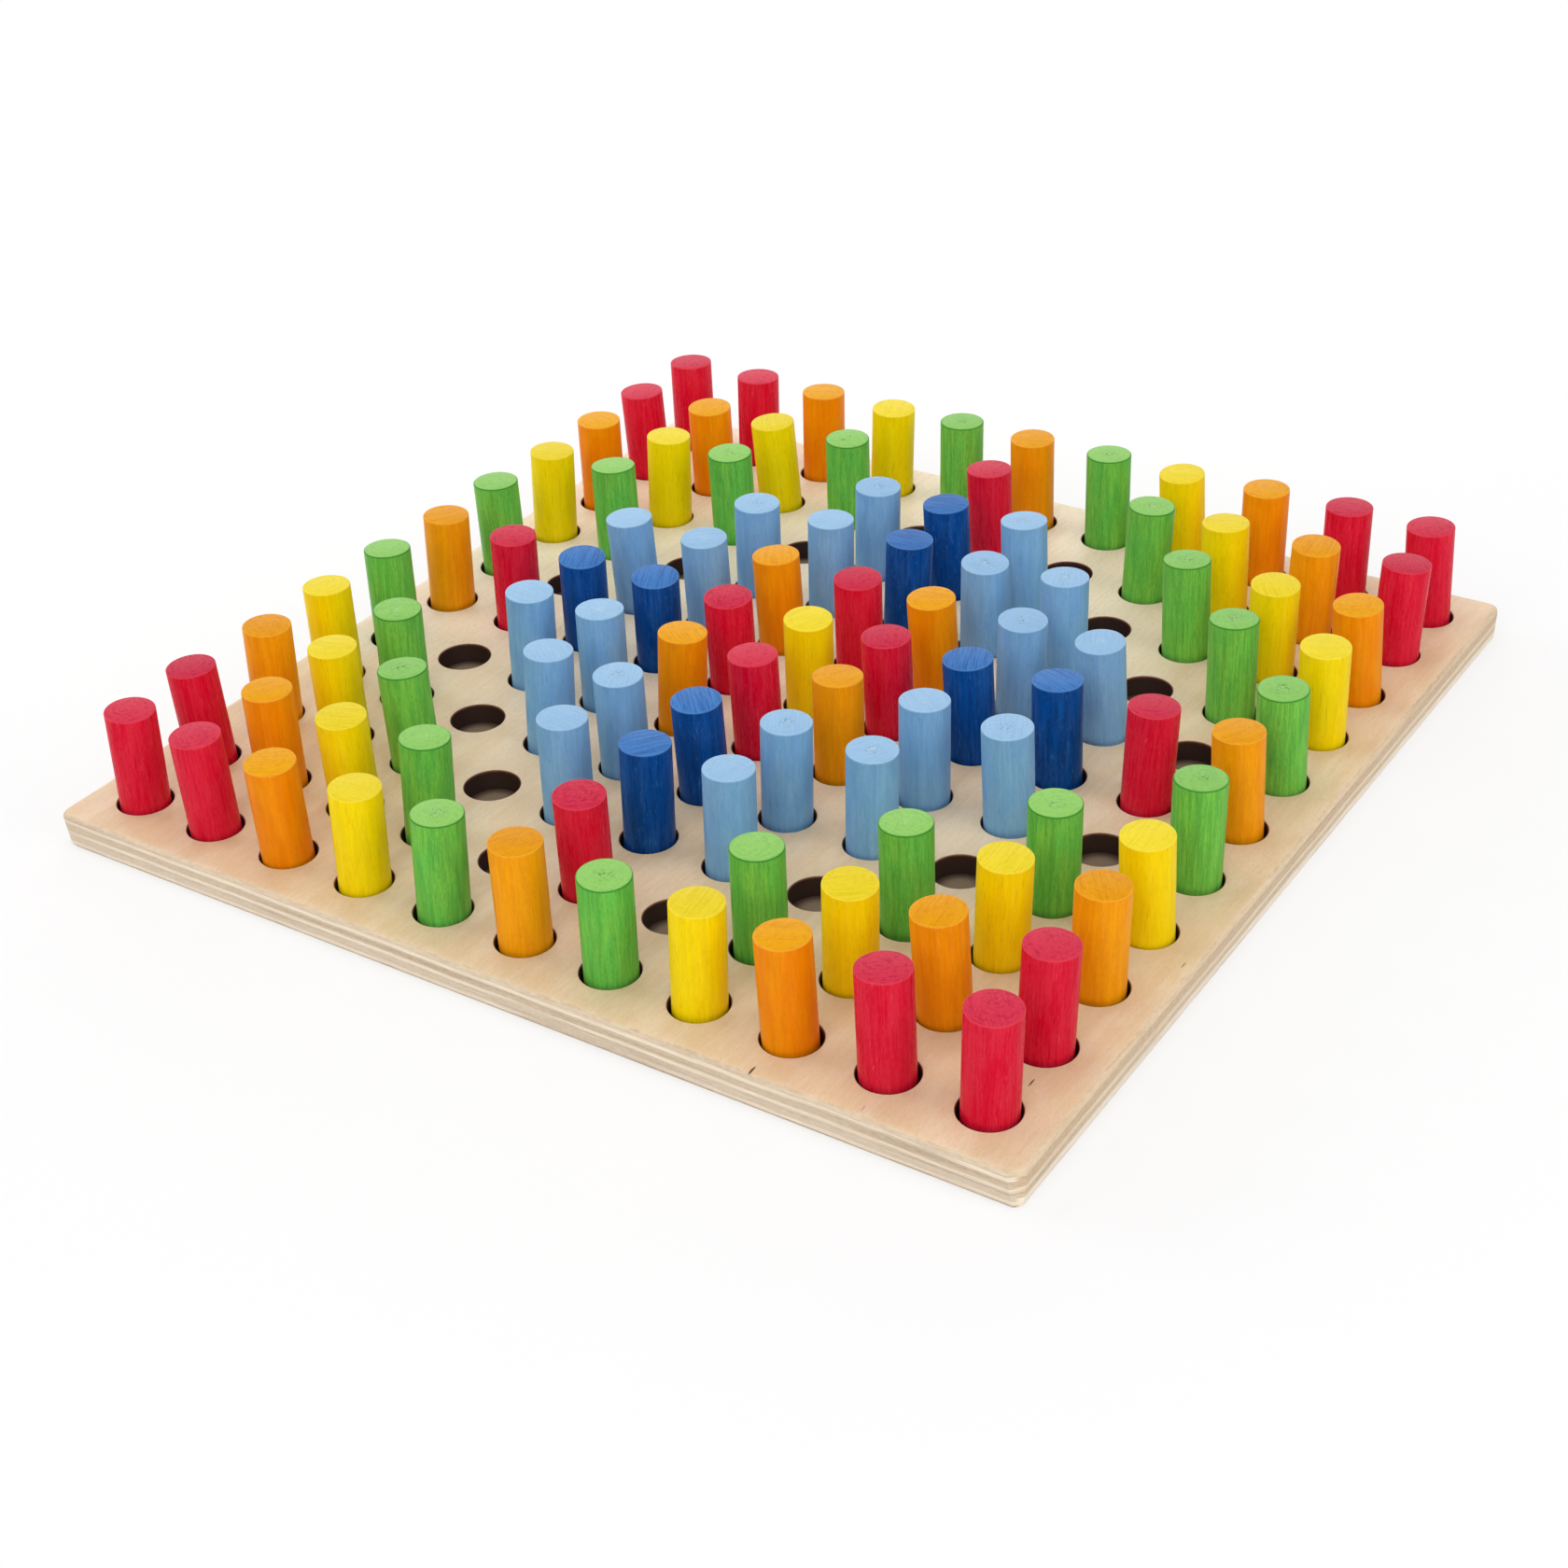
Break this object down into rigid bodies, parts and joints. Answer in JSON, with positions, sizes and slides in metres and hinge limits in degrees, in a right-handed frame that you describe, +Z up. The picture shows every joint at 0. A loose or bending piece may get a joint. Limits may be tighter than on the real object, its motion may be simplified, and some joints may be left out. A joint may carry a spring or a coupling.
{
  "type": "pegboard",
  "caption": "Square two-ply wooden board with a grid of round blind holes and loose stained dowel pegs that lift out, for laying coloured patterns.",
  "frame": {"origin": "middle of the board's flat underside", "axes": "+Z up out of the holes, +X to the right and +Y to the back, along the hole rows"},
  "size_m": [0.474, 0.474, 0.0615],
  "materials": {
    "plywood": "sanded bare plywood",
    "red_stained_wood": "matt dye stain, grain shows",
    "orange_stained_wood": "matt dye stain, grain shows",
    "yellow_stained_wood": "matt dye stain, grain shows",
    "green_stained_wood": "matt dye stain, grain shows",
    "light_blue_stained_wood": "matt dye stain, grain shows",
    "dark_blue_stained_wood": "matt dye stain, grain shows"
  },
  "bodies": {
    "board": {"base_plate": "plywood", "peg_plate": "plywood"},
    "dark_blue_pegs_back": {"dark_blue_pegs_back": "dark_blue_stained_wood"},
    "dark_blue_pegs_front": {"dark_blue_pegs_front": "dark_blue_stained_wood"},
    "dark_blue_pegs_left": {"dark_blue_pegs_left": "dark_blue_stained_wood"},
    "dark_blue_pegs_right": {"dark_blue_pegs_right": "dark_blue_stained_wood"},
    "green_pegs_a_back_left": {"green_pegs_a_back_left": "green_stained_wood"},
    "green_pegs_a_back_right": {"green_pegs_a_back_right": "green_stained_wood"},
    "green_pegs_a_front_left": {"green_pegs_a_front_left": "green_stained_wood"},
    "green_pegs_a_front_right": {"green_pegs_a_front_right": "green_stained_wood"},
    "green_pegs_b_back_left": {"green_pegs_b_back_left": "green_stained_wood"},
    "green_pegs_b_back_right": {"green_pegs_b_back_right": "green_stained_wood"},
    "green_pegs_b_front_left": {"green_pegs_b_front_left": "green_stained_wood"},
    "green_pegs_b_front_right": {"green_pegs_b_front_right": "green_stained_wood"},
    "light_blue_peg_back_left": {"light_blue_peg_back_left": "light_blue_stained_wood"},
    "light_blue_peg_back_right": {"light_blue_peg_back_right": "light_blue_stained_wood"},
    "light_blue_peg_front_left": {"light_blue_peg_front_left": "light_blue_stained_wood"},
    "light_blue_peg_front_right": {"light_blue_peg_front_right": "light_blue_stained_wood"},
    "light_blue_pegs_a_back_left": {"light_blue_pegs_a_back_left": "light_blue_stained_wood"},
    "light_blue_pegs_a_back_right": {"light_blue_pegs_a_back_right": "light_blue_stained_wood"},
    "light_blue_pegs_a_front_left": {"light_blue_pegs_a_front_left": "light_blue_stained_wood"},
    "light_blue_pegs_a_front_right": {"light_blue_pegs_a_front_right": "light_blue_stained_wood"},
    "light_blue_pegs_b_back_left": {"light_blue_pegs_b_back_left": "light_blue_stained_wood"},
    "light_blue_pegs_b_back_right": {"light_blue_pegs_b_back_right": "light_blue_stained_wood"},
    "light_blue_pegs_b_front_left": {"light_blue_pegs_b_front_left": "light_blue_stained_wood"},
    "light_blue_pegs_b_front_right": {"light_blue_pegs_b_front_right": "light_blue_stained_wood"},
    "orange_inner_peg_back_left": {"orange_inner_peg_back_left": "orange_stained_wood"},
    "orange_inner_peg_back_right": {"orange_inner_peg_back_right": "orange_stained_wood"},
    "orange_inner_peg_front_left": {"orange_inner_peg_front_left": "orange_stained_wood"},
    "orange_inner_peg_front_right": {"orange_inner_peg_front_right": "orange_stained_wood"},
    "orange_outer_pegs_back_left": {"orange_outer_pegs_back_left": "orange_stained_wood"},
    "orange_outer_pegs_back_right": {"orange_outer_pegs_back_right": "orange_stained_wood"},
    "orange_outer_pegs_front_left": {"orange_outer_pegs_front_left": "orange_stained_wood"},
    "orange_outer_pegs_front_right": {"orange_outer_pegs_front_right": "orange_stained_wood"},
    "orange_peg_back": {"orange_peg_back": "orange_stained_wood"},
    "orange_peg_front": {"orange_peg_front": "orange_stained_wood"},
    "orange_peg_left": {"orange_peg_left": "orange_stained_wood"},
    "orange_peg_right": {"orange_peg_right": "orange_stained_wood"},
    "red_inner_peg_back": {"red_inner_peg_back": "red_stained_wood"},
    "red_inner_peg_front": {"red_inner_peg_front": "red_stained_wood"},
    "red_inner_peg_left": {"red_inner_peg_left": "red_stained_wood"},
    "red_inner_peg_right": {"red_inner_peg_right": "red_stained_wood"},
    "red_outer_peg_back": {"red_outer_peg_back": "red_stained_wood"},
    "red_outer_peg_front": {"red_outer_peg_front": "red_stained_wood"},
    "red_outer_peg_left": {"red_outer_peg_left": "red_stained_wood"},
    "red_outer_peg_right": {"red_outer_peg_right": "red_stained_wood"},
    "red_pegs_back_left": {"red_pegs_back_left": "red_stained_wood"},
    "red_pegs_back_right": {"red_pegs_back_right": "red_stained_wood"},
    "red_pegs_front_left": {"red_pegs_front_left": "red_stained_wood"},
    "red_pegs_front_right": {"red_pegs_front_right": "red_stained_wood"},
    "yellow_peg_centre": {"yellow_peg_centre": "yellow_stained_wood"},
    "yellow_pegs_a_back_left": {"yellow_pegs_a_back_left": "yellow_stained_wood"},
    "yellow_pegs_a_back_right": {"yellow_pegs_a_back_right": "yellow_stained_wood"},
    "yellow_pegs_a_front_left": {"yellow_pegs_a_front_left": "yellow_stained_wood"},
    "yellow_pegs_a_front_right": {"yellow_pegs_a_front_right": "yellow_stained_wood"},
    "yellow_pegs_b_back_left": {"yellow_pegs_b_back_left": "yellow_stained_wood"},
    "yellow_pegs_b_back_right": {"yellow_pegs_b_back_right": "yellow_stained_wood"},
    "yellow_pegs_b_front_left": {"yellow_pegs_b_front_left": "yellow_stained_wood"},
    "yellow_pegs_b_front_right": {"yellow_pegs_b_front_right": "yellow_stained_wood"}
  },
  "joints": [
    {"name": "lift_dark_blue_pegs_back", "type": "slide", "parent": "board", "child": "dark_blue_pegs_back", "axis": [0, 0, 1], "range_m": [0, 0.025]},
    {"name": "lift_dark_blue_pegs_front", "type": "slide", "parent": "board", "child": "dark_blue_pegs_front", "axis": [0, 0, 1], "range_m": [0, 0.025]},
    {"name": "lift_dark_blue_pegs_left", "type": "slide", "parent": "board", "child": "dark_blue_pegs_left", "axis": [0, 0, 1], "range_m": [0, 0.025]},
    {"name": "lift_dark_blue_pegs_right", "type": "slide", "parent": "board", "child": "dark_blue_pegs_right", "axis": [0, 0, 1], "range_m": [0, 0.025]},
    {"name": "lift_green_pegs_a_back_left", "type": "slide", "parent": "board", "child": "green_pegs_a_back_left", "axis": [0, 0, 1], "range_m": [0, 0.025]},
    {"name": "lift_green_pegs_a_back_right", "type": "slide", "parent": "board", "child": "green_pegs_a_back_right", "axis": [0, 0, 1], "range_m": [0, 0.025]},
    {"name": "lift_green_pegs_a_front_left", "type": "slide", "parent": "board", "child": "green_pegs_a_front_left", "axis": [0, 0, 1], "range_m": [0, 0.025]},
    {"name": "lift_green_pegs_a_front_right", "type": "slide", "parent": "board", "child": "green_pegs_a_front_right", "axis": [0, 0, 1], "range_m": [0, 0.025]},
    {"name": "lift_green_pegs_b_back_left", "type": "slide", "parent": "board", "child": "green_pegs_b_back_left", "axis": [0, 0, 1], "range_m": [0, 0.025]},
    {"name": "lift_green_pegs_b_back_right", "type": "slide", "parent": "board", "child": "green_pegs_b_back_right", "axis": [0, 0, 1], "range_m": [0, 0.025]},
    {"name": "lift_green_pegs_b_front_left", "type": "slide", "parent": "board", "child": "green_pegs_b_front_left", "axis": [0, 0, 1], "range_m": [0, 0.025]},
    {"name": "lift_green_pegs_b_front_right", "type": "slide", "parent": "board", "child": "green_pegs_b_front_right", "axis": [0, 0, 1], "range_m": [0, 0.025]},
    {"name": "lift_light_blue_peg_back_left", "type": "slide", "parent": "board", "child": "light_blue_peg_back_left", "axis": [0, 0, 1], "range_m": [0, 0.025]},
    {"name": "lift_light_blue_peg_back_right", "type": "slide", "parent": "board", "child": "light_blue_peg_back_right", "axis": [0, 0, 1], "range_m": [0, 0.025]},
    {"name": "lift_light_blue_peg_front_left", "type": "slide", "parent": "board", "child": "light_blue_peg_front_left", "axis": [0, 0, 1], "range_m": [0, 0.025]},
    {"name": "lift_light_blue_peg_front_right", "type": "slide", "parent": "board", "child": "light_blue_peg_front_right", "axis": [0, 0, 1], "range_m": [0, 0.025]},
    {"name": "lift_light_blue_pegs_a_back_left", "type": "slide", "parent": "board", "child": "light_blue_pegs_a_back_left", "axis": [0, 0, 1], "range_m": [0, 0.025]},
    {"name": "lift_light_blue_pegs_a_back_right", "type": "slide", "parent": "board", "child": "light_blue_pegs_a_back_right", "axis": [0, 0, 1], "range_m": [0, 0.025]},
    {"name": "lift_light_blue_pegs_a_front_left", "type": "slide", "parent": "board", "child": "light_blue_pegs_a_front_left", "axis": [0, 0, 1], "range_m": [0, 0.025]},
    {"name": "lift_light_blue_pegs_a_front_right", "type": "slide", "parent": "board", "child": "light_blue_pegs_a_front_right", "axis": [0, 0, 1], "range_m": [0, 0.025]},
    {"name": "lift_light_blue_pegs_b_back_left", "type": "slide", "parent": "board", "child": "light_blue_pegs_b_back_left", "axis": [0, 0, 1], "range_m": [0, 0.025]},
    {"name": "lift_light_blue_pegs_b_back_right", "type": "slide", "parent": "board", "child": "light_blue_pegs_b_back_right", "axis": [0, 0, 1], "range_m": [0, 0.025]},
    {"name": "lift_light_blue_pegs_b_front_left", "type": "slide", "parent": "board", "child": "light_blue_pegs_b_front_left", "axis": [0, 0, 1], "range_m": [0, 0.025]},
    {"name": "lift_light_blue_pegs_b_front_right", "type": "slide", "parent": "board", "child": "light_blue_pegs_b_front_right", "axis": [0, 0, 1], "range_m": [0, 0.025]},
    {"name": "lift_orange_inner_peg_back_left", "type": "slide", "parent": "board", "child": "orange_inner_peg_back_left", "axis": [0, 0, 1], "range_m": [0, 0.025]},
    {"name": "lift_orange_inner_peg_back_right", "type": "slide", "parent": "board", "child": "orange_inner_peg_back_right", "axis": [0, 0, 1], "range_m": [0, 0.025]},
    {"name": "lift_orange_inner_peg_front_left", "type": "slide", "parent": "board", "child": "orange_inner_peg_front_left", "axis": [0, 0, 1], "range_m": [0, 0.025]},
    {"name": "lift_orange_inner_peg_front_right", "type": "slide", "parent": "board", "child": "orange_inner_peg_front_right", "axis": [0, 0, 1], "range_m": [0, 0.025]},
    {"name": "lift_orange_outer_pegs_back_left", "type": "slide", "parent": "board", "child": "orange_outer_pegs_back_left", "axis": [0, 0, 1], "range_m": [0, 0.025]},
    {"name": "lift_orange_outer_pegs_back_right", "type": "slide", "parent": "board", "child": "orange_outer_pegs_back_right", "axis": [0, 0, 1], "range_m": [0, 0.025]},
    {"name": "lift_orange_outer_pegs_front_left", "type": "slide", "parent": "board", "child": "orange_outer_pegs_front_left", "axis": [0, 0, 1], "range_m": [0, 0.025]},
    {"name": "lift_orange_outer_pegs_front_right", "type": "slide", "parent": "board", "child": "orange_outer_pegs_front_right", "axis": [0, 0, 1], "range_m": [0, 0.025]},
    {"name": "lift_orange_peg_back", "type": "slide", "parent": "board", "child": "orange_peg_back", "axis": [0, 0, 1], "range_m": [0, 0.025]},
    {"name": "lift_orange_peg_front", "type": "slide", "parent": "board", "child": "orange_peg_front", "axis": [0, 0, 1], "range_m": [0, 0.025]},
    {"name": "lift_orange_peg_left", "type": "slide", "parent": "board", "child": "orange_peg_left", "axis": [0, 0, 1], "range_m": [0, 0.025]},
    {"name": "lift_orange_peg_right", "type": "slide", "parent": "board", "child": "orange_peg_right", "axis": [0, 0, 1], "range_m": [0, 0.025]},
    {"name": "lift_red_inner_peg_back", "type": "slide", "parent": "board", "child": "red_inner_peg_back", "axis": [0, 0, 1], "range_m": [0, 0.025]},
    {"name": "lift_red_inner_peg_front", "type": "slide", "parent": "board", "child": "red_inner_peg_front", "axis": [0, 0, 1], "range_m": [0, 0.025]},
    {"name": "lift_red_inner_peg_left", "type": "slide", "parent": "board", "child": "red_inner_peg_left", "axis": [0, 0, 1], "range_m": [0, 0.025]},
    {"name": "lift_red_inner_peg_right", "type": "slide", "parent": "board", "child": "red_inner_peg_right", "axis": [0, 0, 1], "range_m": [0, 0.025]},
    {"name": "lift_red_outer_peg_back", "type": "slide", "parent": "board", "child": "red_outer_peg_back", "axis": [0, 0, 1], "range_m": [0, 0.025]},
    {"name": "lift_red_outer_peg_front", "type": "slide", "parent": "board", "child": "red_outer_peg_front", "axis": [0, 0, 1], "range_m": [0, 0.025]},
    {"name": "lift_red_outer_peg_left", "type": "slide", "parent": "board", "child": "red_outer_peg_left", "axis": [0, 0, 1], "range_m": [0, 0.025]},
    {"name": "lift_red_outer_peg_right", "type": "slide", "parent": "board", "child": "red_outer_peg_right", "axis": [0, 0, 1], "range_m": [0, 0.025]},
    {"name": "lift_red_pegs_back_left", "type": "slide", "parent": "board", "child": "red_pegs_back_left", "axis": [0, 0, 1], "range_m": [0, 0.025]},
    {"name": "lift_red_pegs_back_right", "type": "slide", "parent": "board", "child": "red_pegs_back_right", "axis": [0, 0, 1], "range_m": [0, 0.025]},
    {"name": "lift_red_pegs_front_left", "type": "slide", "parent": "board", "child": "red_pegs_front_left", "axis": [0, 0, 1], "range_m": [0, 0.025]},
    {"name": "lift_red_pegs_front_right", "type": "slide", "parent": "board", "child": "red_pegs_front_right", "axis": [0, 0, 1], "range_m": [0, 0.025]},
    {"name": "lift_yellow_peg_centre", "type": "slide", "parent": "board", "child": "yellow_peg_centre", "axis": [0, 0, 1], "range_m": [0, 0.025]},
    {"name": "lift_yellow_pegs_a_back_left", "type": "slide", "parent": "board", "child": "yellow_pegs_a_back_left", "axis": [0, 0, 1], "range_m": [0, 0.025]},
    {"name": "lift_yellow_pegs_a_back_right", "type": "slide", "parent": "board", "child": "yellow_pegs_a_back_right", "axis": [0, 0, 1], "range_m": [0, 0.025]},
    {"name": "lift_yellow_pegs_a_front_left", "type": "slide", "parent": "board", "child": "yellow_pegs_a_front_left", "axis": [0, 0, 1], "range_m": [0, 0.025]},
    {"name": "lift_yellow_pegs_a_front_right", "type": "slide", "parent": "board", "child": "yellow_pegs_a_front_right", "axis": [0, 0, 1], "range_m": [0, 0.025]},
    {"name": "lift_yellow_pegs_b_back_left", "type": "slide", "parent": "board", "child": "yellow_pegs_b_back_left", "axis": [0, 0, 1], "range_m": [0, 0.025]},
    {"name": "lift_yellow_pegs_b_back_right", "type": "slide", "parent": "board", "child": "yellow_pegs_b_back_right", "axis": [0, 0, 1], "range_m": [0, 0.025]},
    {"name": "lift_yellow_pegs_b_front_left", "type": "slide", "parent": "board", "child": "yellow_pegs_b_front_left", "axis": [0, 0, 1], "range_m": [0, 0.025]},
    {"name": "lift_yellow_pegs_b_front_right", "type": "slide", "parent": "board", "child": "yellow_pegs_b_front_right", "axis": [0, 0, 1], "range_m": [0, 0.025]}
  ]
}
